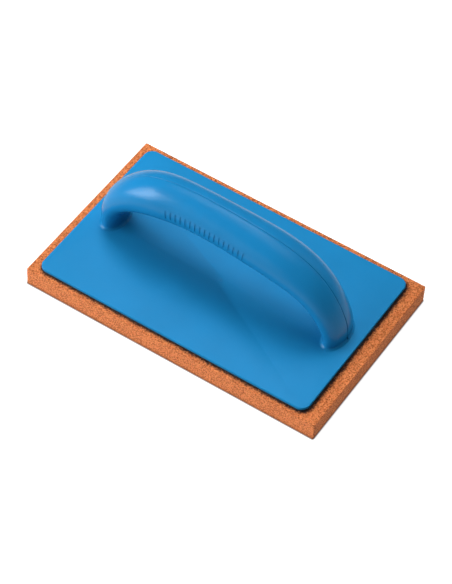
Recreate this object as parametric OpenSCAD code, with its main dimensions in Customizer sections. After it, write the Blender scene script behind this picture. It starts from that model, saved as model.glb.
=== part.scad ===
// Hand float for plaster and grout: a hollow two-shell grip, screwed from below
// to a thin moulded plate, with a thick sponge pad bonded under the plate.
// Origin: middle of the pad's working face. +X along the float, +Z up to the grip.

/* [Sponge pad] */
// Length of the sponge pad
pad_length = 240; // [215:5:280]
// Width of the sponge pad
pad_width = 150; // [145:5:180]
// Thickness of the sponge pad
pad_thick = 15; // [8:1:25]
// Radius of the pad's upright corners
pad_corner = 1; // [0.5:0.5:5]
// Thickness of the glue film between pad and plate
glue_thick = 0.5; // [0.3:0.1:1]

/* [Base plate] */
// Length of the plate
plate_length = 222.5; // [205:0.5:260]
// Width of the plate
plate_width = 140; // [120:1:160]
// Thickness of the plate
plate_thick = 2.5; // [2.5:0.5:5]
// Radius of the plate's corners
plate_corner = 7; // [3:1:20]
// How far the plate sits off the pad's centre along X
plate_shift = -2.3; // [-4:0.1:4]

/* [Grip] */
// Distance between the middles of the two legs
leg_span = 187; // [175:1:195]
// Height of the grip's guide curve above the plate
grip_rise = 53; // [48:1:62]
// How far the grip sits off the plate's centre along X
grip_shift = 0.8; // [-3:0.1:3]
// Wall thickness of the two shells
wall = 2.5; // [2:0.1:3]
// Height and reach of the flare where each leg meets the plate
foot_flare = 2; // [1:0.5:3]

/* [Fasteners] */
// Radius of the screw shank
screw_r = 1.45; // [1.2:0.05:1.5]
// Radius of the screw head
screw_head_r = 3.4; // [2.8:0.1:3.6]
// Length of the screw, head included
screw_length = 15; // [10:1:16]
// Distance of each screw from the centre line
screw_y = 6.5; // [6.2:0.1:7]
// Radius of the pins that line the shells up
pin_r = 2; // [1.5:0.1:2.5]

/* [Hidden] */
$fn = 48;

blue = [0.19, 0.58, 0.82];
orange = [0.88, 0.5, 0.3];
glue_brown = [0.16, 0.12, 0.1];
steel = [0.72, 0.73, 0.75];

// Shape of the grip: each row is a guide point from the left leg to the right one.
// [place along the half span in %, height in % of the rise, half thickness, half width]
grip_guide = [
    [-100,   0,  8.0, 13.5],
    [-100,  42,  9.5, 15.5],
    [ -79,  79, 13.0, 17.5],
    [ -57,  94, 16.5, 17.5],
    [ -29, 100, 16.0, 15.5],
    [   9,  98, 15.5, 16.5],
    [  51,  91, 15.5, 18.5],
    [  81,  72, 12.0, 16.5],
    [ 100,  21,  9.0, 15.5],
    [ 100,   0,  7.5, 16.0],
];
steps_per_span = 5;
arc_steps = 11;
foot_rings = [0, 0.25, 0.5];

plate_bottom = pad_thick + glue_thick;
plate_top = plate_bottom + plate_thick;
grip_mid_x = plate_shift + grip_shift;
left_leg_x = grip_mid_x - leg_span / 2;
right_leg_x = grip_mid_x + leg_span / 2;
glue_inset = 0.6;

boss_r = 3.5;
boss_height = 16;
gusset_height = 8;
gusset_thick = 1.6;
pilot_r = screw_r + 0.05;
plate_hole_r = screw_r + 0.15;
head_height = 1.9;
head_gap = 0.05;
screw_tip = 2;
pin_boss_r = 4;
pin_length = 6;
pin_gap = 0.05;
pin_places = [2.6, 5, 7.2];
rib_places = [3.8, 6.2];
rib_thick = 2;
overlap = 0.01;

// ---- Grip curve: a uniform cubic B-spline through the guide points ----

guide = [for (g = grip_guide)
    [grip_mid_x + g[0] / 100 * leg_span / 2, plate_top + g[1] / 100 * grip_rise, g[2], g[3]]];
spans = len(guide) - 1;

// Guide point i, with one extra point reflected past each end
function guide_at(i) =
    i < 0 ? 2 * guide[0] - guide[1]
    : i > spans ? 2 * guide[spans] - guide[spans - 1]
    : guide[i];

function spline_span(u) = max(0, min(spans - 1, floor(u)));

function spline_point(i, t) =
    (pow(1 - t, 3) * guide_at(i - 1)
    + (3 * pow(t, 3) - 6 * t * t + 4) * guide_at(i)
    + (3 * t + 3 * t * t - 3 * pow(t, 3) + 1) * guide_at(i + 1)
    + pow(t, 3) * guide_at(i + 2)) / 6;

function spline_slope(i, t) =
    (-pow(1 - t, 2) * guide_at(i - 1)
    + (3 * t * t - 4 * t) * guide_at(i)
    + (1 + 2 * t - 3 * t * t) * guide_at(i + 1)
    + t * t * guide_at(i + 2)) / 2;

// [x, z, half thickness, half width] at place u along the grip
function grip_at(u) = spline_point(spline_span(u), u - spline_span(u));

// Direction of the grip at u, as an angle from +X in the XZ plane
function grip_angle(u) =
    let (slope = spline_slope(spline_span(u), u - spline_span(u)))
    atan2(slope[1], slope[0]);

// Extra reach of the section close to the plate
function flare_at(z) =
    let (left = max(0, 1 - (z - plate_top) / foot_flare))
    foot_flare * left * left;

// Places of the rings: close together in the two flares, even between them
left_climb = guide[1][1] - guide[0][1];
right_climb = guide[spans - 1][1] - guide[spans][1];
ring_places = concat(
    [for (f = foot_rings) f * foot_flare / left_climb],
    [for (i = [1 : spans * steps_per_span - 1]) i / steps_per_span],
    [for (i = [len(foot_rings) - 1 : -1 : 0]) spans - foot_rings[i] * foot_flare / right_climb]);

// ---- Shell surface ----

// A point of the section at u: angle a runs from the underside (-90) over the side to the top (90)
function section_point(u, a, inset, side) =
    let (
        g = grip_at(u),
        tilt = grip_angle(u),
        grow = inset > 0 ? -inset : flare_at(g[1]),
        out = (g[2] + grow) * sin(a),
        across = (g[3] + grow) * cos(a)
    )
    [g[0] - sin(tilt) * out, side * across, g[1] + cos(tilt) * out];

// Closed C outline of one half shell: the outer arc up, then the inner arc down
function half_ring(u, side) = concat(
    [for (k = [0 : arc_steps]) section_point(u, -90 + 180 * k / arc_steps, 0, side)],
    [for (k = [arc_steps : -1 : 0]) section_point(u, -90 + 180 * k / arc_steps, wall, side)]);

function reversed(list) = [for (i = [len(list) - 1 : -1 : 0]) list[i]];

// A four-cornered face as two triangles
function split(quad) = [[quad[0], quad[1], quad[2]], [quad[0], quad[2], quad[3]]];

module swept_shell(side) {
    rings = len(ring_places);
    count = 2 * (arc_steps + 1);
    points = [for (u = ring_places) each half_ring(u, side)];
    walls = [for (r = [0 : rings - 2], k = [0 : count - 1])
        let (
            here = r * count + k,
            up = r * count + (k + 1) % count,
            quad = [here, up, up + count, here + count]
        )
        each split(quad)];
    caps = [for (r = [0, rings - 1], k = [0 : arc_steps - 1])
        let (
            outer = r * count + k,
            inner = r * count + count - 1 - k,
            quad = [outer, inner, inner - 1, outer + 1]
        )
        each split(r == 0 ? quad : reversed(quad))];
    faces = concat(walls, caps);
    polyhedron(points, side < 0 ? faces : [for (f = faces) reversed(f)]);
}

// ---- Details inside the shells ----

// Post that takes a screw, tied to the leg's walls by a low gusset
module screw_boss(leg_x, side) {
    foot = leg_x < grip_mid_x ? guide[0] : guide[spans];
    reach = foot[2] - wall / 2;
    translate([leg_x, side * screw_y, plate_top])
        cylinder(r = boss_r, h = boss_height);
    translate([leg_x - reach, side * screw_y - gusset_thick / 2, plate_top])
        cube([2 * reach, gusset_thick, gusset_height]);
}

module screw_pilot(leg_x, side) {
    translate([leg_x, side * screw_y, plate_top - overlap])
        cylinder(r = pilot_r, h = screw_length - plate_thick + screw_tip);
}

// Round post across the shell at place u, from the joint face to inside the wall
module pin_post(u, side) {
    g = grip_at(u);
    translate([g[0], 0, g[1]])
        rotate([side > 0 ? -90 : 90, 0, 0])
            cylinder(r = pin_boss_r, h = g[3] - wall / 2);
}

// Cylinder along +Y from the joint face, for the pins and for the sockets that take them
module across_pin(u, radius, start, length) {
    g = grip_at(u);
    translate([g[0], start, g[1]])
        rotate([-90, 0, 0])
            cylinder(r = radius, h = length);
}

// Thin web across one half of the hollow at place u
module shell_rib(u, side) {
    g = grip_at(u);
    outline = [for (k = [0 : arc_steps])
        let (a = -90 + 180 * k / arc_steps)
        [(g[2] - wall / 2) * sin(a), side * (g[3] - wall / 2) * cos(a)]];
    translate([g[0], 0, g[1]])
        rotate([0, -90 - grip_angle(u), 0])
            translate([0, 0, -rib_thick / 2])
                linear_extrude(rib_thick)
                    polygon(outline);
}

module half_shell(side) {
    difference() {
        union() {
            swept_shell(side);
            for (leg_x = [left_leg_x, right_leg_x])
                screw_boss(leg_x, side);
            for (u = pin_places)
                pin_post(u, side);
            for (u = rib_places)
                shell_rib(u, side);
        }
        for (leg_x = [left_leg_x, right_leg_x])
            screw_pilot(leg_x, side);
    }
}

// ---- Plates ----

module rounded_slab(length, width, thick, radius) {
    for (turn = [0, 1])
        translate([-length / 2 + turn * radius, -width / 2 + (1 - turn) * radius, 0])
            cube([length - 2 * turn * radius, width - 2 * (1 - turn) * radius, thick]);
    for (sx = [-1, 1], sy = [-1, 1])
        translate([sx * (length / 2 - radius), sy * (width / 2 - radius), 0])
            cylinder(r = radius, h = thick);
}

module screw_hole(leg_x, side) {
    translate([leg_x, side * screw_y, plate_bottom]) {
        translate([0, 0, -overlap])
            cylinder(r = plate_hole_r, h = plate_thick + 2 * overlap);
        translate([0, 0, -overlap])
            cylinder(r1 = screw_head_r + 2 * head_gap, r2 = plate_hole_r, h = head_height + head_gap);
    }
}

// ---- Nodes ----

module sponge_pad() {
    color(orange)
        rounded_slab(pad_length, pad_width, pad_thick, pad_corner);
}

module adhesive_layer() {
    color(glue_brown)
        translate([plate_shift, 0, pad_thick])
            rounded_slab(plate_length - 2 * glue_inset, plate_width - 2 * glue_inset, glue_thick,
                         plate_corner - glue_inset);
}

module base_plate() {
    color(blue)
        difference() {
            translate([plate_shift, 0, plate_bottom])
                rounded_slab(plate_length, plate_width, plate_thick, plate_corner);
            for (leg_x = [left_leg_x, right_leg_x], side = [-1, 1])
                screw_hole(leg_x, side);
        }
}

module handle_front_shell() {
    color(blue) {
        half_shell(-1);
        for (u = pin_places)
            across_pin(u, pin_r, -overlap, pin_length + overlap);
    }
}

module handle_rear_shell() {
    color(blue)
        difference() {
            half_shell(1);
            for (u = pin_places)
                across_pin(u, pin_r + pin_gap, -overlap, pin_length + 1);
        }
}

module screw(leg_x, side) {
    color(steel)
        translate([leg_x, side * screw_y, plate_bottom]) {
            cylinder(r1 = screw_head_r, r2 = screw_r, h = head_height);
            cylinder(r = screw_r, h = screw_length - screw_tip);
            translate([0, 0, screw_length - screw_tip])
                cylinder(r1 = screw_r, r2 = screw_r / 4, h = screw_tip);
        }
}

module screw_left_front() { screw(left_leg_x, -1); }
module screw_left_rear() { screw(left_leg_x, 1); }
module screw_right_front() { screw(right_leg_x, -1); }
module screw_right_rear() { screw(right_leg_x, 1); }

sponge_pad();
adhesive_layer();
base_plate();
handle_front_shell();
handle_rear_shell();
screw_left_front();
screw_left_rear();
screw_right_front();
screw_right_rear();
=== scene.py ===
"""Looks of the hand float: an orange sponge pad glued under a blue moulded plate, with a
hollow two-shell grip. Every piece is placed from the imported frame; lengths are in metres."""
import math

import bpy
import bmesh
import numpy as np
from mathutils import Matrix, Vector, noise


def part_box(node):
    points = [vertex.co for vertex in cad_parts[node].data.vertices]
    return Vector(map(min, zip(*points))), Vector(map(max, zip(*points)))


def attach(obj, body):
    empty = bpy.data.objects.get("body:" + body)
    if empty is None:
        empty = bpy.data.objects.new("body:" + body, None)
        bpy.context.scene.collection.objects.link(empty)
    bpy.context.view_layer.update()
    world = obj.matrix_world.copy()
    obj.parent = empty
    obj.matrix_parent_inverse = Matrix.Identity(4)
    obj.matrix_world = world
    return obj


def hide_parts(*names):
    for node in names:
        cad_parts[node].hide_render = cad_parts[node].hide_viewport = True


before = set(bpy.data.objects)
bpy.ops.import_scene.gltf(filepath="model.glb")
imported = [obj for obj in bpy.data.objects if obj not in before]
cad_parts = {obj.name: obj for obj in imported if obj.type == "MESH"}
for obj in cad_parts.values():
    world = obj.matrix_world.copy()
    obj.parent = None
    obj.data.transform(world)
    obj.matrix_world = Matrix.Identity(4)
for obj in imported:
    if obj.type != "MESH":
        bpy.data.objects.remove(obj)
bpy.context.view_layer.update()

MM = 0.001
SHARP_ANGLE = 35  # degrees: a sharper edge than this isn't shaded smooth
CUT_PAST = 0.5 * MM  # how far a cutting shape reaches past what it cuts
PAD_LOW, PAD_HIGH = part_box("sponge_pad")
GLUE_LOW, GLUE_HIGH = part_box("adhesive_layer")
PLATE_LOW, PLATE_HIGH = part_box("base_plate")
SCREWS = ["screw_left_front", "screw_left_rear", "screw_right_front", "screw_right_rear"]

# ---------------------------------------------------------------- small helpers


def mesh_object(name, points, faces, sharp_angle=SHARP_ANGLE):
    """A mesh piece from points in metres, shaded smooth but for edges sharper than sharp_angle."""
    mesh = bpy.data.meshes.new(name)
    mesh.from_pydata([tuple(p) for p in points], [], [tuple(f) for f in faces])
    mesh.validate()
    mesh.shade_smooth()
    mesh.set_sharp_from_angle(angle=math.radians(sharp_angle))
    piece = bpy.data.objects.new(name, mesh)
    bpy.context.scene.collection.objects.link(piece)
    return piece


def ring_faces(rings, count):
    """Quads between neighbouring closed rings of count points each."""
    faces = []
    for r in range(rings - 1):
        here = r * count
        there = here + count
        for k in range(count):
            up = (k + 1) % count
            faces.append((here + k, here + up, there + up, there + k))
    return faces


def capped_faces(rings, count):
    """Faces of a closed solid: the quads between its rings, and a flat cap on each end."""
    last = (rings - 1) * count
    return ring_faces(rings, count) + [tuple(reversed(range(count))), tuple(range(last, last + count))]


def in_metres(pairs):
    """Pairs that are given in millimetres, in metres."""
    return [(first * MM, second * MM) for first, second in pairs]


def box_outline(half_x, half_y, radius, arc_steps, straight_step):
    """Points and outward normals round a rectangle with rounded corners, anticlockwise."""
    points, normals = [], []
    corners = [(1, 1, 0), (-1, 1, 90), (-1, -1, 180), (1, -1, 270)]
    for index, (sx, sy, start) in enumerate(corners):
        cx, cy = sx * (half_x - radius), sy * (half_y - radius)
        for k in range(arc_steps + 1):
            a = math.radians(start + 90 * k / arc_steps)
            normals.append((math.cos(a), math.sin(a)))
            points.append((cx + radius * math.cos(a), cy + radius * math.sin(a)))
        nx, ny = normals[-1]
        next_x, next_y, _ = corners[(index + 1) % 4]
        end_x = next_x * (half_x - radius) + radius * nx
        end_y = next_y * (half_y - radius) + radius * ny
        x, y = points[-1]
        count = max(1, round(math.hypot(end_x - x, end_y - y) / straight_step))
        for k in range(1, count):
            points.append((x + (end_x - x) * k / count, y + (end_y - y) * k / count))
            normals.append((nx, ny))
    return np.array(points), np.array(normals)


# ---------------------------------------------------------------- the grip's curve

LEG_SPAN = 187 * MM
GRIP_RISE = 53 * MM
GRIP_SHIFT = 0.8 * MM
WALL = 2.5 * MM
FOOT_FLARE = 2 * MM
PLATE_TOP = PLATE_HIGH.z
GRIP_MID_X = (PLATE_LOW.x + PLATE_HIGH.x) / 2 + GRIP_SHIFT

# Guide points as in the CAD: [% of the half span, % of the rise, half thickness, half width in mm]
GRIP_GUIDE = np.array([
    [-100, 0, 8.0, 13.5],
    [-100, 42, 9.5, 15.5],
    [-79, 79, 13.0, 17.5],
    [-57, 94, 16.5, 17.5],
    [-29, 100, 16.0, 15.5],
    [9, 98, 15.5, 16.5],
    [51, 91, 15.5, 18.5],
    [81, 72, 12.0, 16.5],
    [100, 21, 9.0, 15.5],
    [100, 0, 7.5, 16.0],
])
GUIDE = np.column_stack([
    GRIP_MID_X + GRIP_GUIDE[:, 0] / 100 * LEG_SPAN / 2,
    PLATE_TOP + GRIP_GUIDE[:, 1] / 100 * GRIP_RISE,
    GRIP_GUIDE[:, 2] * MM,
    GRIP_GUIDE[:, 3] * MM,
])
# The guide with one extra point reflected past each end
GUIDE_PLUS = np.vstack([2 * GUIDE[0] - GUIDE[1], GUIDE, 2 * GUIDE[-1] - GUIDE[-2]])
SPANS = len(GUIDE) - 1


def grip_at(u):
    """x, z, half thickness, half width and the two parts of the upward normal at place u.

    The curve is the uniform cubic B-spline that has the guide points as its control points."""
    i = int(min(max(math.floor(u), 0), SPANS - 1))
    t = u - i
    value = np.array([(1 - t) ** 3, 3 * t**3 - 6 * t * t + 4, 3 * t + 3 * t * t - 3 * t**3 + 1, t**3]) / 6
    slope = np.array([-((1 - t) ** 2), 3 * t * t - 4 * t, 1 + 2 * t - 3 * t * t, t * t]) / 2
    x, z, thick, wide = value @ GUIDE_PLUS[i : i + 4]
    dx, dz = (slope @ GUIDE_PLUS[i : i + 4])[:2]
    length = math.hypot(dx, dz)
    return x, z, thick, wide, -dz / length, dx / length


def grip_point(u, out, across):
    """The point at place u, out along the upward normal and across along Y."""
    x, z, _, _, nx, nz = grip_at(u)
    return (x + nx * out, across, z + nz * out)


def flare_at(z):
    """Extra reach of the section close to the plate."""
    left = max(0.0, 1 - (z - PLATE_TOP) / FOOT_FLARE)
    return FOOT_FLARE * left * left


TABLE_STEPS = 50  # places per span at which the curve's x is worked out, to look places up by x
TABLE_U = [k / TABLE_STEPS for k in range(TABLE_STEPS * SPANS + 1)]
TABLE_X = [grip_at(u)[0] for u in TABLE_U]


def place_at_x(x):
    """Place u on the grip's curve above that x."""
    return float(np.interp(x, TABLE_X, TABLE_U))


# ---------------------------------------------------------------- grip shells

RINGS_PER_SPAN = 22
RING_CLEARANCE = 0.01  # least distance along u between an even ring and a flare's last one
FOOT_STEPS = 6
OUTER_STEPS = 40
INNER_STEPS = 14
EDGE_STEPS = 4
SEAM_EDGE = 0.35 * MM
SEAM_HAIRLINE = 0.06 * MM
SEAM_OPEN = 0.7 * MM
SEAM_OPENS_AT = 6.5
SEAM_POWER = 1.5


def seam_gap(u):
    """Gap between the shells at u: a hairline that opens down the right leg."""
    share = max(0.0, (u - SEAM_OPENS_AT) / (SPANS - SEAM_OPENS_AT))
    return SEAM_HAIRLINE + (SEAM_OPEN - SEAM_HAIRLINE) * share**SEAM_POWER


def ring_places():
    """Places of the rings along the grip, close together in the two flares."""
    left_climb = GUIDE[1][1] - GUIDE[0][1]
    right_climb = GUIDE[-2][1] - GUIDE[-1][1]
    flare = [k / FOOT_STEPS for k in range(FOOT_STEPS + 1)]
    left = [f * FOOT_FLARE / left_climb for f in flare]
    right = [SPANS - f * FOOT_FLARE / right_climb for f in reversed(flare)]
    middle = [k / RINGS_PER_SPAN for k in range(1, SPANS * RINGS_PER_SPAN)]
    inner = [u for u in middle if left[-1] + RING_CLEARANCE < u < right[0] - RING_CLEARANCE]
    return left + inner + right


def half_section(u):
    """Closed C outline of one half shell at u, as (out, across) pairs with a rounded seam edge."""
    _, z, thick, wide, _, _ = grip_at(u)
    grow = flare_at(z)
    gap = seam_gap(u) / 2
    out, across = thick + grow, wide + grow
    reach = math.acos((gap + SEAM_EDGE) / across)
    outer = []
    for a in np.linspace(-reach, reach, OUTER_STEPS + 1):
        outer.append((out * math.sin(a), across * math.cos(a)))
    edge = []
    for b in np.linspace(0, math.pi / 2, EDGE_STEPS + 1)[1:]:
        edge.append((outer[-1][0] - SEAM_EDGE * (1 - math.cos(b)), gap + SEAM_EDGE * (1 - math.sin(b))))
    reach = math.acos(gap / (wide - WALL))
    inner = []
    for a in np.linspace(reach, -reach, INNER_STEPS + 1):
        inner.append(((thick - WALL) * math.sin(a), (wide - WALL) * math.cos(a)))
    return outer + edge + inner + [(-o, y) for o, y in reversed(edge)]


def swept_shell(name, side):
    """One half shell as a closed mesh: side -1 is the front one, +1 the rear one."""
    places = ring_places()
    points = [grip_point(u, out, side * across) for u in places for out, across in half_section(u)]
    faces = capped_faces(len(places), len(points) // len(places))
    if side < 0:
        faces = [tuple(reversed(f)) for f in faces]
    return mesh_object(name, points, faces)


# ---------------------------------------------------------------- shapes for the Booleans

TURNED_STEPS = 32
TURNS_FROM_Z = {
    "Z": Matrix(),
    "Y": Matrix.Rotation(-math.pi / 2, 4, "X"),
    "-Y": Matrix.Rotation(math.pi / 2, 4, "X"),
}


def turned(name, rings, at, axis="Z"):
    """A turned solid through the (radius, height) rings, flat at both ends."""
    points = []
    for radius, height in rings:
        for k in range(TURNED_STEPS):
            a = 2 * math.pi * k / TURNED_STEPS
            points.append((radius * math.cos(a), radius * math.sin(a), height))
    place = Matrix.Translation(at) @ TURNS_FROM_Z[axis]
    return mesh_object(name, [place @ Vector(p) for p in points], capped_faces(len(rings), TURNED_STEPS))


def straight(radius, low, high):
    """Rings of a plain round solid."""
    return [(radius, low), (radius, high)]


def prism(name, outline, offset):
    """A closed solid from an outline of points and the vector that it is drawn out along."""
    points = [Vector(p) for p in outline] + [Vector(p) + Vector(offset) for p in outline]
    piece = mesh_object(name, points, capped_faces(2, len(outline)))
    face_outwards(piece)
    return piece


def face_outwards(piece):
    """Turns the normals of a closed mesh to its outside."""
    shape = bmesh.new()
    shape.from_mesh(piece.data)
    bmesh.ops.recalc_face_normals(shape, faces=shape.faces)
    shape.to_mesh(piece.data)
    shape.free()


def combine(piece, others, operation):
    """Joins the others to the piece, or cuts them from it, and removes them."""
    group = bpy.data.collections.new("tools")
    for other in others:
        bpy.context.scene.collection.objects.unlink(other)
        group.objects.link(other)
    bpy.context.scene.collection.children.link(group)
    step = piece.modifiers.new("combine", "BOOLEAN")
    step.operation = operation
    step.operand_type = "COLLECTION"
    step.collection = group
    step.solver = "EXACT"
    step.use_self = operation == "UNION"
    bpy.context.view_layer.update()
    result = piece.evaluated_get(bpy.context.evaluated_depsgraph_get())
    mesh = bpy.data.meshes.new_from_object(result)
    piece.modifiers.clear()
    piece.data = mesh
    for other in others:
        bpy.data.objects.remove(other)
    bpy.data.collections.remove(group)
    mesh.shade_smooth()
    mesh.set_sharp_from_angle(angle=math.radians(SHARP_ANGLE))


# ---------------------------------------------------------------- details of the shells

BOSS_R = 3.5 * MM
BOSS_HEIGHT = 16 * MM
GUSSET_HEIGHT = 8 * MM
GUSSET_THICK = 1.6 * MM
SCREW_Y = (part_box("screw_left_rear")[0].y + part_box("screw_left_rear")[1].y) / 2
PILOT_R = 1.5 * MM
PILOT_DEPTH = 14.5 * MM
PIN_R = 2 * MM
PIN_LENGTH = 6 * MM
PIN_ROOT = 5 * MM  # how deep a pin's root sits in the front shell's post
PIN_GAP = 0.05 * MM
SOCKET_SPARE = 1 * MM  # how much further a socket's cut reaches than its pin, at each end
PIN_BOSS_R = 4 * MM
PIN_PLACES = [2.6, 5, 7.2]
RIB_PLACES = [3.8, 6.2]
RIB_THICK = 2 * MM
RIB_ARC_STEPS = 16
LEGS = [GRIP_MID_X - LEG_SPAN / 2, GRIP_MID_X + LEG_SPAN / 2]


def screw_post(leg_x, side):
    """Post that takes a screw and the gusset that ties it to the leg's walls."""
    thick = GUIDE[0][2] if leg_x < GRIP_MID_X else GUIDE[-1][2]
    reach = thick - WALL / 2
    post = turned("post", straight(BOSS_R, 0, BOSS_HEIGHT), (leg_x, side * SCREW_Y, PLATE_TOP))
    y = side * SCREW_Y - GUSSET_THICK / 2
    corners = [(-reach, 0), (reach, 0), (reach, GUSSET_HEIGHT), (-reach, GUSSET_HEIGHT)]
    outline = [(leg_x + x, y, PLATE_TOP + z) for x, z in corners]
    return [post, prism("gusset", outline, (0, GUSSET_THICK, 0))]


def pin_post(u, side):
    """Round post across the hollow at u, from the seam to inside the wall."""
    x, z, _, wide, _, _ = grip_at(u)
    gap = seam_gap(u) / 2
    axis = "Y" if side > 0 else "-Y"
    return turned("pin_post", straight(PIN_BOSS_R, gap, wide - WALL / 2), (x, 0, z), axis)


def shell_rib(u, side):
    """Thin web across one half of the hollow at u."""
    _, _, thick, wide, nx, nz = grip_at(u)
    along = Vector((nz, 0, -nx))
    gap = seam_gap(u) / 2
    outline = []
    reach = math.acos(gap / (wide - WALL / 2))
    for a in np.linspace(-reach, reach, RIB_ARC_STEPS + 1):
        spot = grip_point(u, (thick - WALL / 2) * math.sin(a), side * (wide - WALL / 2) * math.cos(a))
        outline.append(Vector(spot) - along * RIB_THICK / 2)
    return prism("web", outline, along * RIB_THICK)


TICK_FROM_X = -43 * MM
TICK_TO_X = 21 * MM
TICK_COUNT = 17
TICK_ANGLES = np.radians([-12, -6, 0, 6, 12, 16])  # round the section, from its widest place up
TICK_BASE = 0.55 * MM
TICK_CREST = 0.3 * MM
TICK_PROUD = 0.5 * MM
TICK_END_PROUD = 0.1 * MM
TICK_ROOT = 1 * MM


def tick(x):
    """One short upright rib, moulded proud of the front shell."""
    u = place_at_x(x)
    _, _, thick, wide, nx, nz = grip_at(u)
    along = Vector((nz, 0, -nx))
    points = []
    for k, a in enumerate(TICK_ANGLES):
        at_end = k in (0, len(TICK_ANGLES) - 1)
        proud = TICK_END_PROUD if at_end else TICK_PROUD
        section = [
            (-TICK_ROOT, -TICK_BASE),
            (proud, -TICK_CREST),
            (proud, TICK_CREST),
            (-TICK_ROOT, TICK_BASE),
        ]
        for grow, shift in section:
            spot = grip_point(u, (thick + grow) * math.sin(a), -(wide + grow) * math.cos(a))
            points.append(Vector(spot) + along * shift)
    piece = mesh_object("tick", points, capped_faces(len(TICK_ANGLES), len(section)))
    face_outwards(piece)
    return piece


def inside_parts(side):
    """What is joined to and cut from the inside of a half shell: posts, webs, pins and their holes."""
    added, cuts = [], []
    for leg_x in LEGS:
        added += screw_post(leg_x, side)
        hole = straight(PILOT_R, -CUT_PAST, PILOT_DEPTH)
        cuts.append(turned("pilot", hole, (leg_x, side * SCREW_Y, PLATE_TOP)))
    added += [pin_post(u, side) for u in PIN_PLACES]
    added += [shell_rib(u, side) for u in RIB_PLACES]
    pin = straight(PIN_R, -PIN_ROOT, PIN_LENGTH)
    socket = straight(PIN_R + PIN_GAP, -SOCKET_SPARE, PIN_LENGTH + SOCKET_SPARE)
    for u in PIN_PLACES:
        x, z = grip_at(u)[:2]
        if side < 0:
            added.append(turned("pin", pin, (x, 0, z), "Y"))
        else:
            cuts.append(turned("socket", socket, (x, 0, z), "Y"))
    return added, cuts


def grip_shell(name, side):
    shell = swept_shell(name, side)
    added, cuts = inside_parts(side)
    if side < 0:
        added += [tick(x) for x in np.linspace(TICK_FROM_X, TICK_TO_X, TICK_COUNT)]
    if added:
        combine(shell, added, "UNION")
    if cuts:
        combine(shell, cuts, "DIFFERENCE")
    return shell


# ---------------------------------------------------------------- base plate and glue

PLATE_MID = (PLATE_LOW + PLATE_HIGH) / 2
PLATE_HALF = (PLATE_HIGH - PLATE_LOW) / 2
PLATE_CORNER = 7 * MM
# The plate's edge from below, in mm: [inset, height above the plate's underside]
PLATE_EDGE = [
    [0.4, 0], [0.32, 0.22], [0.1, 0.42], [0, 0.7], [0, 1.75],
    [0.06, 2.05], [0.2, 2.28], [0.42, 2.44], [0.75, 2.5],
]
PLATE_STEP = 6 * MM
CORNER_STEPS = 14
# Turned shapes, as [radius, height] in mm: a screw hole from the plate's underside up, and the
# shallow dish and the nib of the moulding gate's mark from the plate's top
SCREW_HOLE = [[3.5, -0.3], [3.5, 0], [1.6, 1.95]]
GATE_DISH = [[2.2, -0.2], [3.1, -0.12], [3.5, 0.02], [3.5, 0.5]]
GATE_NIB = [[0.9, -1], [0.8, -0.1], [0.5, 0]]
GATE_PLACE = Vector((-1.3 * MM, -6.7 * MM, PLATE_TOP))
WAVER_SIZE = 2.5 * MM
FINE_WAVER = 3  # how many times smaller the fine waves are
FINE_WAVER_AT = Vector((0, 0, 5))  # where in the noise they are read


def waver_at(x, y):
    """How far in or out a torn edge lies there, from about -1 to 1: slow waves and finer ones."""
    spot = Vector((x, y, 0)) / WAVER_SIZE
    return 0.6 * noise.noise(spot) + 0.7 * noise.noise(spot * FINE_WAVER + FINE_WAVER_AT)


def slab(name, middle, half, corner, edge, step, ragged=0.0):
    """A closed slab whose edge runs through the (inset, height) pairs, with a ragged outline if asked."""
    outline, normals = box_outline(half.x, half.y, corner, CORNER_STEPS, step)
    waver = [ragged * waver_at(x, y) if ragged else 0.0 for x, y in outline]
    points = []
    for inset, height in edge:
        for (x, y), (nx, ny), w in zip(outline, normals, waver):
            away = inset + w
            points.append((middle.x + x - nx * away, middle.y + y - ny * away, height))
    return mesh_object(name, points, capped_faces(len(edge), len(outline)))


def plate_piece():
    """The moulded plate with its rounded edge, its screw holes and the gate's mark."""
    edge = [(inset, PLATE_LOW.z + height) for inset, height in in_metres(PLATE_EDGE)]
    plate = slab("base_plate_moulded", PLATE_MID, PLATE_HALF, PLATE_CORNER, edge, PLATE_STEP)
    hole = in_metres(SCREW_HOLE)
    hole.append((hole[-1][0], PLATE_HIGH.z - PLATE_LOW.z + CUT_PAST))
    cuts = []
    for leg_x in LEGS:
        for side in (-1, 1):
            cuts.append(turned("screw_hole", hole, (leg_x, side * SCREW_Y, PLATE_LOW.z)))
    cuts.append(turned("gate_dish", in_metres(GATE_DISH), GATE_PLACE))
    combine(plate, cuts, "DIFFERENCE")
    combine(plate, [turned("gate_nib", in_metres(GATE_NIB), GATE_PLACE)], "UNION")
    return plate


# The bead of glue at the plate's edge, from below, in mm: [inset, height above the pad]. It goes
# on to GLUE_TOP_INSET where it meets the plate.
GLUE_EDGE = [[0.2, 0], [0, 0.15], [0.1, 0.3], [0.5, 0.44]]
GLUE_TOP_INSET = 1.2 * MM
GLUE_STEP = 0.5 * MM
GLUE_SQUEEZED = 0.3 * MM
GLUE_WAVER = 1 * MM
# The plate was set down a little to the left of the glue, so the right side shows more of it
GLUE_SHIFT = Vector((0.3, -0.05, 0)) * MM
# Shift of the glue smear and painted shade on the sponge by the plate's edge, so that it shows on the
# right and hides on the left
GLUE_SHADE_SHIFT = Vector((0.9, -0.1, 0)) * MM


def glue_piece():
    """The glue film, squeezed out past the plate in a low ragged bead."""
    middle = (GLUE_LOW + GLUE_HIGH) / 2 + GLUE_SHIFT
    half = PLATE_HALF + Vector((1, 1, 0)) * GLUE_SQUEEZED
    edge = [(inset, GLUE_LOW.z + height) for inset, height in in_metres(GLUE_EDGE)]
    edge.append((GLUE_TOP_INSET, GLUE_HIGH.z))
    corner = PLATE_CORNER + GLUE_SQUEEZED
    return slab("adhesive_film", middle, half, corner, edge, GLUE_STEP, GLUE_WAVER)


# ---------------------------------------------------------------- sponge pad

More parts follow.
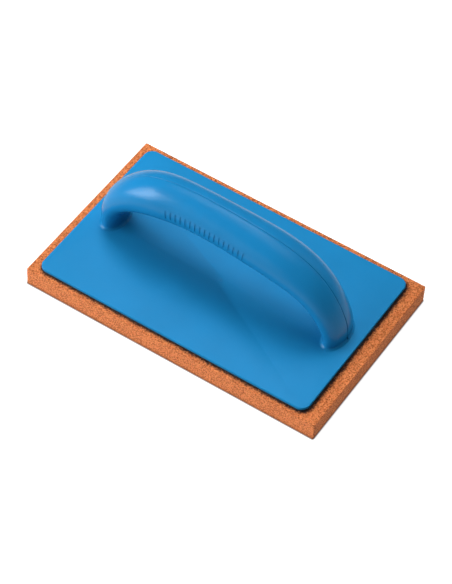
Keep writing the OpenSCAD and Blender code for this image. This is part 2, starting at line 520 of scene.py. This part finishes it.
PAD_CELL = 0.58 * MM
PAD_MARGIN = 13 * MM
PAD_CORNER = 1 * MM
PAD_CORNER_STEPS = 4
PAD_MID = (PAD_HIGH + PAD_LOW) / 2
PAD_HALF = (PAD_HIGH - PAD_LOW) / 2
PORE_SIZE = 1.15 * MM
PORE_DEPTH = 0.34 * MM
PORE_REACH = 0.62  # distance from a pore's middle to its rim, in pore sizes
SMALL_PORE_SIZE = 0.55 * PORE_SIZE
SMALL_PORE_REACH = 0.6
SMALL_PORES_AT = Vector((7, 3, 1))  # where in the noise they are read
SWELL_SIZE = 6 * MM
RIM_BAND = 0.1 * MM  # rows this close to the pad's top or underside are its rims
RIM_DIP = 0.35  # share of the pores' depth that a rim moves in each direction


def pore_depth(spot):
    """How deep the surface lies at a point of the sponge: round pores and a slow swell."""
    pore = max(0.0, 1 - noise.voronoi(spot / PORE_SIZE)[0][0] / PORE_REACH)
    near = noise.voronoi(spot / SMALL_PORE_SIZE + SMALL_PORES_AT)[0][0]
    small = max(0.0, 1 - near / SMALL_PORE_REACH)
    swell = 0.5 + 0.5 * noise.noise(spot / SWELL_SIZE)
    return PORE_DEPTH * (0.75 * pore + 0.25 * small + 0.25 * swell)


def pad_piece():
    """The sponge pad: a fine pitted belt over its sides and margins, closed across the middle."""
    outline, normals = box_outline(PAD_HALF.x, PAD_HALF.y, PAD_CORNER, PAD_CORNER_STEPS, PAD_CELL)
    margin_rows = round(PAD_MARGIN / PAD_CELL)
    side_rows = round((PAD_HIGH.z - PAD_LOW.z) / PAD_CELL)
    # [inset, height, which way the surface faces: down -1, sideways 0 or up 1]
    rows = [(PAD_MARGIN * (1 - k / margin_rows), PAD_LOW.z, -1) for k in range(margin_rows)]
    rows += [(0, PAD_LOW.z + (PAD_HIGH.z - PAD_LOW.z) * k / side_rows, 0) for k in range(side_rows + 1)]
    rows += [(PAD_MARGIN * k / margin_rows, PAD_HIGH.z, 1) for k in range(1, margin_rows + 1)]
    points = []
    last = len(rows) - 1
    for index, (inset, z, facing) in enumerate(rows):
        shrink = np.array([1 - inset / PAD_HALF.x, 1 - inset / PAD_HALF.y])
        at_rim = facing == 0 and (z < PAD_LOW.z + RIM_BAND or z > PAD_HIGH.z - RIM_BAND)
        for (x, y), (nx, ny) in zip(outline * shrink, normals):
            spot = Vector((PAD_MID.x + x, PAD_MID.y + y, z))
            if index in (0, last):
                points.append(spot)
                continue
            inward = Vector((-nx, -ny, 0)) if facing == 0 else Vector((0, 0, -facing))
            if at_rim:
                inward = Vector((-nx, -ny, 1 if z < PAD_MID.z else -1)) * RIM_DIP
            points.append(spot + inward * pore_depth(spot))
    faces = ring_faces(len(rows), len(outline))
    pad = mesh_object("sponge_pad_cellular", points, faces, sharp_angle=180)
    close_ends(pad)
    return pad


def close_ends(piece):
    """Fills the two open loops of a belt with triangles."""
    shape = bmesh.new()
    shape.from_mesh(piece.data)
    open_edges = [e for e in shape.edges if e.is_boundary]
    while open_edges:
        loop = {open_edges[0]}
        front = [open_edges[0]]
        while front:
            edge = front.pop()
            for corner in edge.verts:
                for other in corner.link_edges:
                    if other.is_boundary and other not in loop:
                        loop.add(other)
                        front.append(other)
        bmesh.ops.triangle_fill(shape, use_beauty=True, edges=list(loop))
        open_edges = [e for e in open_edges if e not in loop]
    bmesh.ops.recalc_face_normals(shape, faces=shape.faces)
    shape.to_mesh(piece.data)
    shape.free()


# ---------------------------------------------------------------- screws

THREAD_PITCH = 1.3 * MM
THREAD_DEPTH = 0.3 * MM
THREAD_START = 0.4 * MM  # how far above the head the thread begins
THREAD_SLOPE = 3.2  # how steeply the groove falls from the crest, as shares of depth per pitch
SCREW_R = 1.45 * MM
SCREW_TIP = 2 * MM
BLUNT_TIP = 0.12  # least share of the radius at the tip
HEAD_HEIGHT = 1.9 * MM
SCREW_STEPS = 24
ROWS_PER_TURN = 8
RECESS_LONG = 2.2 * MM
RECESS_NARROW = 0.5 * MM
RECESS_DEPTH = 1.1 * MM


def screw_piece(node):
    """A countersunk self-tapping screw with a cross recess and a real thread."""
    low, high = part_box(node)
    middle = (low + high) / 2
    head_r = (high.x - low.x) / 2
    length = high.z - low.z
    rows = [(head_r * 0.96, 0), (head_r, 0.12 * MM), (head_r * 0.97, 0.3 * MM), (SCREW_R, HEAD_HEIGHT)]
    start = HEAD_HEIGHT + THREAD_START
    count = round((length - start) / THREAD_PITCH * ROWS_PER_TURN)
    rows += [(SCREW_R, start + (length - start) * k / count) for k in range(count)]
    points = []
    for radius, height in rows:
        taper = max(BLUNT_TIP, min(1.0, (length - height) / SCREW_TIP))
        for k in range(SCREW_STEPS):
            a = 2 * math.pi * k / SCREW_STEPS
            r = radius
            if height >= start:
                phase = ((height - start) / THREAD_PITCH - k / SCREW_STEPS) % 1
                groove = min(1.0, THREAD_SLOPE * min(phase, 1 - phase))
                r = (radius - THREAD_DEPTH * groove) * taper
            points.append((middle.x + r * math.cos(a), middle.y + r * math.sin(a), low.z + height))
    faces = ring_faces(len(rows), SCREW_STEPS)
    tip = len(points)
    points.append((middle.x, middle.y, high.z))
    last = (len(rows) - 1) * SCREW_STEPS
    faces += [(last + k, last + (k + 1) % SCREW_STEPS, tip) for k in range(SCREW_STEPS)]
    faces.append(tuple(reversed(range(SCREW_STEPS))))
    piece = mesh_object(node + "_threaded", points, faces)
    arms = []
    for half_x, half_y in [(RECESS_LONG, RECESS_NARROW), (RECESS_NARROW, RECESS_LONG)]:
        corners = [(-half_x, -half_y), (half_x, -half_y), (half_x, half_y), (-half_x, half_y)]
        outline = [(middle.x + x, middle.y + y, low.z - CUT_PAST) for x, y in corners]
        arms.append(prism("recess", outline, (0, 0, CUT_PAST + RECESS_DEPTH)))
    combine(piece, arms, "DIFFERENCE")
    return piece


# ---------------------------------------------------------------- materials

# Places of the colour sockets on a Mix node, whose sockets share their names
MIX_FIRST = 6
MIX_SECOND = 7
MIX_COLOUR = 2


class Look:
    """A node material: a Principled shader with object coordinates and short ways to add nodes."""

    def __init__(self, name):
        self.material = bpy.data.materials.new(name)
        self.material.use_nodes = True
        self.tree = self.material.node_tree
        self.shader = self.tree.nodes["Principled BSDF"]
        self.place = self.add("ShaderNodeTexCoord").outputs["Object"]

    def add(self, kind, **settings):
        """A new node of that kind, with its settings."""
        node = self.tree.nodes.new(kind)
        for name, value in settings.items():
            setattr(node, name, value)
        return node

    def link(self, source, target):
        self.tree.links.new(source, target)

    def stretched(self, scale):
        """Object coordinates with a scale for each axis."""
        node = self.add("ShaderNodeMapping")
        node.inputs["Scale"].default_value = scale
        self.link(self.place, node.inputs["Vector"])
        return node.outputs["Vector"]

    def height(self):
        """Height above the floor, in metres."""
        node = self.add("ShaderNodeSeparateXYZ")
        self.link(self.place, node.inputs["Vector"])
        return node.outputs["Z"]

    def noise(self, size, detail=3, rough=0.5, place=None):
        """Noise whose blobs are about size metres across."""
        node = self.add("ShaderNodeTexNoise")
        node.inputs["Scale"].default_value = 1 / size
        node.inputs["Detail"].default_value = detail
        node.inputs["Roughness"].default_value = rough
        self.link(place or self.place, node.inputs["Vector"])
        return node.outputs["Fac"]

    def cells(self, size):
        """Distance to the nearest of scattered points, size metres apart."""
        node = self.add("ShaderNodeTexVoronoi", feature="F1")
        node.inputs["Scale"].default_value = 1 / size
        self.link(self.place, node.inputs["Vector"])
        return node.outputs["Distance"]

    def ramp(self, value, low, high, out_low=0.0, out_high=1.0):
        """The value stretched from the range low..high to out_low..out_high."""
        node = self.add("ShaderNodeMapRange")
        node.inputs["From Min"].default_value = low
        node.inputs["From Max"].default_value = high
        node.inputs["To Min"].default_value = out_low
        node.inputs["To Max"].default_value = out_high
        self.link(value, node.inputs["Value"])
        return node.outputs["Result"]

    def math(self, operation, first, second):
        """The operation on two values, each a number or a socket."""
        node = self.add("ShaderNodeMath", operation=operation)
        for socket, value in zip(node.inputs, (first, second)):
            if isinstance(value, (int, float)):
                socket.default_value = value
            else:
                self.link(value, socket)
        return node.outputs["Value"]

    def vector(self, operation, first, second):
        """The operation on a vector socket and a fixed vector."""
        node = self.add("ShaderNodeVectorMath", operation=operation)
        self.link(first, node.inputs[0])
        node.inputs[1].default_value = second
        return node.outputs["Vector"]

    def mix(self, share, first, second):
        """A colour between first and second, by share, which is a number or a socket."""
        node = self.add("ShaderNodeMix", data_type="RGBA")
        if isinstance(share, float):
            node.inputs["Factor"].default_value = share
        else:
            self.link(share, node.inputs["Factor"])
        for socket, value in ((node.inputs[MIX_FIRST], first), (node.inputs[MIX_SECOND], second)):
            if isinstance(value, tuple):
                socket.default_value = (*value, 1)
            else:
                self.link(value, socket)
        return node.outputs[MIX_COLOUR]

    def bump(self, height, depth, after=None):
        """A bump of depth metres, on top of an earlier one if given."""
        node = self.add("ShaderNodeBump")
        node.inputs["Distance"].default_value = depth
        self.link(height, node.inputs["Height"])
        if after:
            self.link(after, node.inputs["Normal"])
        return node.outputs["Normal"]

    def finish(self, colour, roughness, normal):
        """Links the three into the shader and gives the material."""
        self.link(colour, self.shader.inputs["Base Color"])
        self.link(roughness, self.shader.inputs["Roughness"])
        self.link(normal, self.shader.inputs["Normal"])
        return self.material


PLATE_BLUE = (0.008, 0.185, 0.412)
GRIP_BLUE = (0.0075, 0.161, 0.369)
WORN_BLUE = (0.03, 0.24, 0.48)
DRIFT_SIZE = 38 * MM
DRIFT_SHADE = 0.93
RUB_SIZE = 1.6 * MM
RUB_STRETCH = (0.12, 1.0, 0.4)
RUB_PATCH_SIZE = 22 * MM
RUB_SHARE = 0.14
RUB_ROUGHENS = 0.04
SHINE_SIZE = 9 * MM
SINK_SIZE = 26 * MM
SINK_DEPTH = 0.35 * MM
GRAIN_SIZE = 0.7 * MM
PLASTIC_IOR = 1.5


def blue_plastic(name, colour, roughness, grain, gloss):
    """Satin moulded plastic: slow tint drift, faint rubbed marks, shallow sinks and a fine grain."""
    look = Look(name)
    drift = look.ramp(look.noise(DRIFT_SIZE, 2), 0.35, 0.65)
    tint = look.mix(drift, tuple(c * DRIFT_SHADE for c in colour), colour)
    streaks = look.noise(RUB_SIZE, 4, 0.6, look.stretched(RUB_STRETCH))
    patches = look.ramp(look.noise(RUB_PATCH_SIZE, 2), 0.5, 0.7)
    rubbed = look.math("MULTIPLY", look.ramp(streaks, 0.6, 0.74), patches)
    worn = look.mix(look.math("MULTIPLY", rubbed, RUB_SHARE), tint, WORN_BLUE)
    shine = look.ramp(look.noise(SHINE_SIZE, 3), 0.3, 0.7, roughness - 0.03, roughness + 0.04)
    rough = look.math("ADD", shine, look.math("MULTIPLY", rubbed, RUB_ROUGHENS))
    sinks = look.bump(look.noise(SINK_SIZE, 1), SINK_DEPTH)
    fine = look.bump(look.noise(GRAIN_SIZE, 2, 0.6), grain, sinks)
    look.shader.inputs["IOR"].default_value = PLASTIC_IOR
    look.shader.inputs["Specular IOR Level"].default_value = gloss
    return look.finish(worn, rough, fine)


def beyond(look, middle, half, corner):
    """Distance outwards from a rounded rectangle, as a node value in metres."""
    centred = look.vector("SUBTRACT", look.place, (middle.x, middle.y, 0))
    folded = look.vector("ABSOLUTE", centred, (0, 0, 0))
    core = (half.x - corner, half.y - corner, 1)
    outside = look.vector("MAXIMUM", look.vector("SUBTRACT", folded, core), (0, 0, 0))
    reach = look.add("ShaderNodeVectorMath", operation="LENGTH")
    look.link(outside, reach.inputs[0])
    return look.math("SUBTRACT", reach.outputs["Value"], corner)


CELL_SIZE = 1.25 * MM
CELL_DEPTH = 0.3 * MM
CRUMB_SIZE = 1.1 * MM
CRUMB_DEPTH = 0.25 * MM
CLOUD_SIZE = 5 * MM
CLOUD_SHARE = 0.35
CRUMB_DARK = (0.385, 0.085, 0.02)
CRUMB_PALE = (0.79, 0.268, 0.09)
CLOUD_RED = (0.585, 0.138, 0.036)
CLOUD_YELLOW = (0.585, 0.203, 0.064)
# Painted shade in the sponge's open cells, darkest at each cell's middle where the bump is deepest
CELL_SHADE_DARK = (0.16, 0.034, 0.01)
# Glue smear and painted shade on the sponge close to the plate's edge
GLUE_SHADE_DARK = (0.02, 0.01, 0.008)
GLUE_SHADE_RAGGED_SIZE = 1.3 * MM
GLUE_SHADE_RAGGED_REACH = 7 * MM
GLUE_SHADE_FADES = (3.7 * MM, 6.3 * MM)  # ragged distance from the plate's edge over which it fades
# Painted shade at the pad's foot: darker towards the bottom
FOOT_SHADE_DARK = (0.12, 0.035, 0.012)
FOOT_SHADE_RAGGED = 1.6 * MM
FOOT_SHADE_FADES = (1.2 * MM, 4 * MM)  # ragged height above the floor over which it fades
FOOT_UNSHADED_SHARE = 0.45
SPONGE_GLOSS = 0.3


def sponge_rubber():
    """Open-cell sponge rubber: painted shade in its cells, pale crumbs, cloudy hue, glue smear with
    painted shade by the plate's edge, and painted shade towards the bottom.
    """
    look = Look("sponge_rubber")
    cells = look.ramp(look.cells(CELL_SIZE), 0.16, 0.5)
    crumbs = look.ramp(look.noise(CRUMB_SIZE, 3, 0.7), 0.36, 0.6)
    cloudy = look.ramp(look.noise(CLOUD_SIZE, 3, 0.6), 0.32, 0.68)
    hue = look.mix(cloudy, CLOUD_RED, CLOUD_YELLOW)
    body = look.mix(CLOUD_SHARE, look.mix(crumbs, CRUMB_DARK, CRUMB_PALE), hue)
    # Painted shade in the cells
    shaded_cells = look.mix(look.ramp(cells, 0, 1, 0.15, 1), CELL_SHADE_DARK, body)
    # Dark band by the plate's edge: glue smear and painted shade
    ragged = look.math("MULTIPLY", look.noise(GLUE_SHADE_RAGGED_SIZE, 3, 0.7), GLUE_SHADE_RAGGED_REACH)
    outwards = beyond(look, PLATE_MID + GLUE_SHADE_SHIFT, PLATE_HALF, PLATE_CORNER)
    glue_shade = look.ramp(look.math("ADD", outwards, ragged), *GLUE_SHADE_FADES)
    with_glue_shade = look.mix(glue_shade, GLUE_SHADE_DARK, shaded_cells)
    # Painted shade at the foot of the pad
    height = look.math("ADD", look.height(), look.math("MULTIPLY", look.noise(FOOT_SHADE_RAGGED), FOOT_SHADE_RAGGED))
    colour = look.mix(look.ramp(height, *FOOT_SHADE_FADES, FOOT_UNSHADED_SHARE, 1), FOOT_SHADE_DARK, with_glue_shade)
    rough = look.ramp(cloudy, 0, 1, 0.85, 0.97)
    fine = look.bump(crumbs, CRUMB_DEPTH)
    look.shader.inputs["Specular IOR Level"].default_value = SPONGE_GLOSS
    return look.finish(colour, rough, look.bump(cells, CELL_DEPTH, fine))


GLUE_BLACK = (0.006, 0.005, 0.005)
GLUE_BROWN = (0.035, 0.022, 0.016)
GLUE_STREAK = 1.4 * MM


def glue():
    """Dried contact cement: near black, streaky, with some shine."""
    look = Look("contact_cement")
    streaks = look.noise(GLUE_STREAK, 4, 0.65, look.stretched((1, 1, 0.3)))
    colour = look.mix(look.ramp(streaks, 0.35, 0.65), GLUE_BLACK, GLUE_BROWN)
    rough = look.ramp(streaks, 0.3, 0.7, 0.5, 0.7)
    return look.finish(colour, rough, look.bump(streaks, 0.2 * MM))


ZINC_DULL = (0.42, 0.43, 0.45)
ZINC_BRIGHT = (0.62, 0.62, 0.6)
ZINC_CLOUD = 1.2 * MM
DRAWN_MARK = 0.25 * MM


def plated_steel():
    """Zinc-plated steel: cloudy grey with drawn marks."""
    look = Look("zinc_plated_steel")
    clouds = look.noise(ZINC_CLOUD, 4, 0.6)
    drawn = look.noise(DRAWN_MARK, 2, 0.5, look.stretched((1, 1, 0.1)))
    colour = look.mix(look.ramp(clouds, 0.35, 0.65), ZINC_DULL, ZINC_BRIGHT)
    rough = look.ramp(clouds, 0.3, 0.7, 0.28, 0.45)
    look.shader.inputs["Metallic"].default_value = 1
    return look.finish(colour, rough, look.bump(drawn, 0.02 * MM))


# ---------------------------------------------------------------- scene

BODY = "root"
PLATE_ROUGHNESS = 0.42
PLATE_GRAIN = 0.008 * MM
PLATE_GLOSS = 0.1
GRIP_ROUGHNESS = 0.21
GRIP_GRAIN = 0.006 * MM
GRIP_GLOSS = 0.2


def placed(piece, material, slot_name, *nodes):
    """Gives the piece its material in its one slot and its body, and hides the CAD nodes that it stands
    for; slot_name is not used.
    """
    piece.data.materials.clear()
    piece.data.materials.append(material)
    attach(piece, BODY)
    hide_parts(*nodes)


def build_pieces():
    """Makes every piece and puts it in the place of its CAD node."""
    pad = pad_piece()
    placed(pad, sponge_rubber(), "sponge", "sponge_pad")
    placed(glue_piece(), glue(), "adhesive", "adhesive_layer")
    plate_look = blue_plastic("plate_plastic", PLATE_BLUE, PLATE_ROUGHNESS, PLATE_GRAIN, PLATE_GLOSS)
    placed(plate_piece(), plate_look, "plate_plastic", "base_plate")
    grip_look = blue_plastic("grip_plastic", GRIP_BLUE, GRIP_ROUGHNESS, GRIP_GRAIN, GRIP_GLOSS)
    for name, side in (("handle_front_shell", -1), ("handle_rear_shell", 1)):
        placed(grip_shell(name + "_moulded", side), grip_look, "grip_plastic", name)
    steel = plated_steel()
    for node in SCREWS:
        placed(screw_piece(node), steel, "screw_steel", node)


# The camera's angles, in degrees, its distance and lens, and the point of the floor that it aims at
CAMERA_AZIMUTH = 30.25
CAMERA_ELEVATION = 50.28
CAMERA_ROLL = 3.86
CAMERA_DISTANCE = 1697.9 * MM
CAMERA_LENS = 147.03
CAMERA_SENSOR = 36
CAMERA_FAR_CLIP = 20
CAMERA_AIM = Vector((0.47, -0.17, 0)) * MM


def add_camera():
    """The camera, high in front of the float and to its right, rolled a little."""
    a, e = math.radians(CAMERA_AZIMUTH), math.radians(CAMERA_ELEVATION)
    back = Vector((math.sin(a) * math.cos(e), -math.cos(a) * math.cos(e), math.sin(e)))
    level = Vector((math.cos(a), math.sin(a), 0))
    upright = back.cross(level)
    c, s = math.cos(math.radians(CAMERA_ROLL)), math.sin(math.radians(CAMERA_ROLL))
    right, up = c * level + s * upright, c * upright - s * level
    camera = bpy.data.objects.new("camera", bpy.data.cameras.new("camera"))
    camera.data.lens = CAMERA_LENS
    camera.data.sensor_width = CAMERA_SENSOR
    camera.data.clip_end = CAMERA_FAR_CLIP
    turn = Matrix((right, up, back)).transposed().to_4x4()
    camera.matrix_world = Matrix.Translation(CAMERA_AIM + back * CAMERA_DISTANCE) @ turn
    bpy.context.scene.collection.objects.link(camera)
    bpy.context.scene.camera = camera


LIGHT_DISTANCE = 1.6
# [azimuth from +X in degrees, elevation, size in metres, watts, whether it is a card]: a soft box
# lights the matt part of the shading alone, and a card shows in gloss alone
LIGHTS = [
    [90, 80, 0.8, 11.6, False],
    [135, 60, 0.8, 17.2, False],
    [210, 35, 1.0, 9.5, False],
    [60, 35, 1.0, 6.8, False],
    [210, 12, 1.3, 17.4, False],
    [252, 12, 1.3, 17.3, False],
    [200, 12, 0.45, 3, True],
    [213, 15, 0.45, 5, True],
    [226, 14, 0.45, 3.5, True],
    [198, 30, 0.45, 3.5, True],
    [213, 30, 0.45, 5.5, True],
    [224, 28, 0.45, 3, True],
    [112, 62, 0.3, 0.9, True],
]


def soft_light(azimuth, elevation, size, watts, is_card):
    """A square soft box or card that faces the middle of the object."""
    a, e = math.radians(azimuth), math.radians(elevation)
    direction = Vector((math.cos(a) * math.cos(e), math.sin(a) * math.cos(e), math.sin(e)))
    light = bpy.data.lights.new("soft_box", "AREA")
    light.size = size
    light.energy = watts
    box = bpy.data.objects.new("soft_box", light)
    box.matrix_world = direction.to_track_quat("Z", "Y").to_matrix().to_4x4()
    box.location = direction * LIGHT_DISTANCE + Vector((0, 0, PLATE_TOP))
    box.visible_glossy = is_card
    box.visible_diffuse = not is_card
    bpy.context.scene.collection.objects.link(box)


FLOOR_SIZE = 16
FLOOR_CLOUD = 0.4
FLOOR_GREY = (0.28, 0.28, 0.28)
FLOOR_PALE = (0.32, 0.32, 0.32)
# Painted shadow: the glow dims to a thin line at the pad's outline
SHADOW_LINE_GLOW = 0.1
GLOW = 0.95
SHADOW_LINE_WIDTH = 1 * MM


def add_floor():
    """A pale light table that glows, but for a painted shadow line at the foot of the pad."""
    h = FLOOR_SIZE / 2
    floor = mesh_object("floor", [(-h, -h, 0), (h, -h, 0), (h, h, 0), (-h, h, 0)], [(0, 1, 2, 3)])
    look = Look("light_table")
    cloud = look.noise(FLOOR_CLOUD, 2)
    colour = look.mix(look.ramp(cloud, 0.3, 0.7), FLOOR_GREY, FLOOR_PALE)
    look.shader.inputs["Emission Color"].default_value = (1, 1, 1, 1)
    outwards = beyond(look, PAD_MID, PAD_HALF, PAD_CORNER)
    # Painted shadow line at the pad's outline
    glow_with_shadow_line = look.ramp(outwards, 0, SHADOW_LINE_WIDTH, SHADOW_LINE_GLOW, GLOW)
    look.link(glow_with_shadow_line, look.shader.inputs["Emission Strength"])
    rough = look.ramp(cloud, 0, 1, 0.9, 0.95)
    floor.data.materials.append(look.finish(colour, rough, look.bump(cloud, 0.1 * MM)))
    floor.visible_glossy = False


# Brightness of the world below and above, and the upward parts of the directions between which
# it changes
WORLD_BELOW = 0.72
WORLD_ABOVE = 0.07
WORLD_LOW = -0.35
WORLD_HIGH = 0.05


def add_world():
    """What gloss shows round the object: a dim room, paler below. It doesn't light matt surfaces."""
    world = bpy.data.worlds.new("studio")
    world.use_nodes = True
    nodes, links = world.node_tree.nodes, world.node_tree.links
    parts = nodes.new("ShaderNodeSeparateXYZ")
    links.new(nodes.new("ShaderNodeTexCoord").outputs["Generated"], parts.inputs["Vector"])
    level = nodes.new("ShaderNodeMapRange")
    level.inputs["From Min"].default_value = WORLD_LOW
    level.inputs["From Max"].default_value = WORLD_HIGH
    level.inputs["To Min"].default_value = WORLD_BELOW
    level.inputs["To Max"].default_value = WORLD_ABOVE
    links.new(parts.outputs["Z"], level.inputs["Value"])
    links.new(level.outputs["Result"], nodes["Background"].inputs["Strength"])
    nodes["Background"].inputs["Color"].default_value = (1, 1, 1, 1)
    bpy.context.scene.world = world
    world.cycles_visibility.diffuse = False


build_pieces()
add_camera()
add_floor()
add_world()
for row in LIGHTS:
    soft_light(*row)
bpy.context.scene.view_settings.view_transform = "Standard"
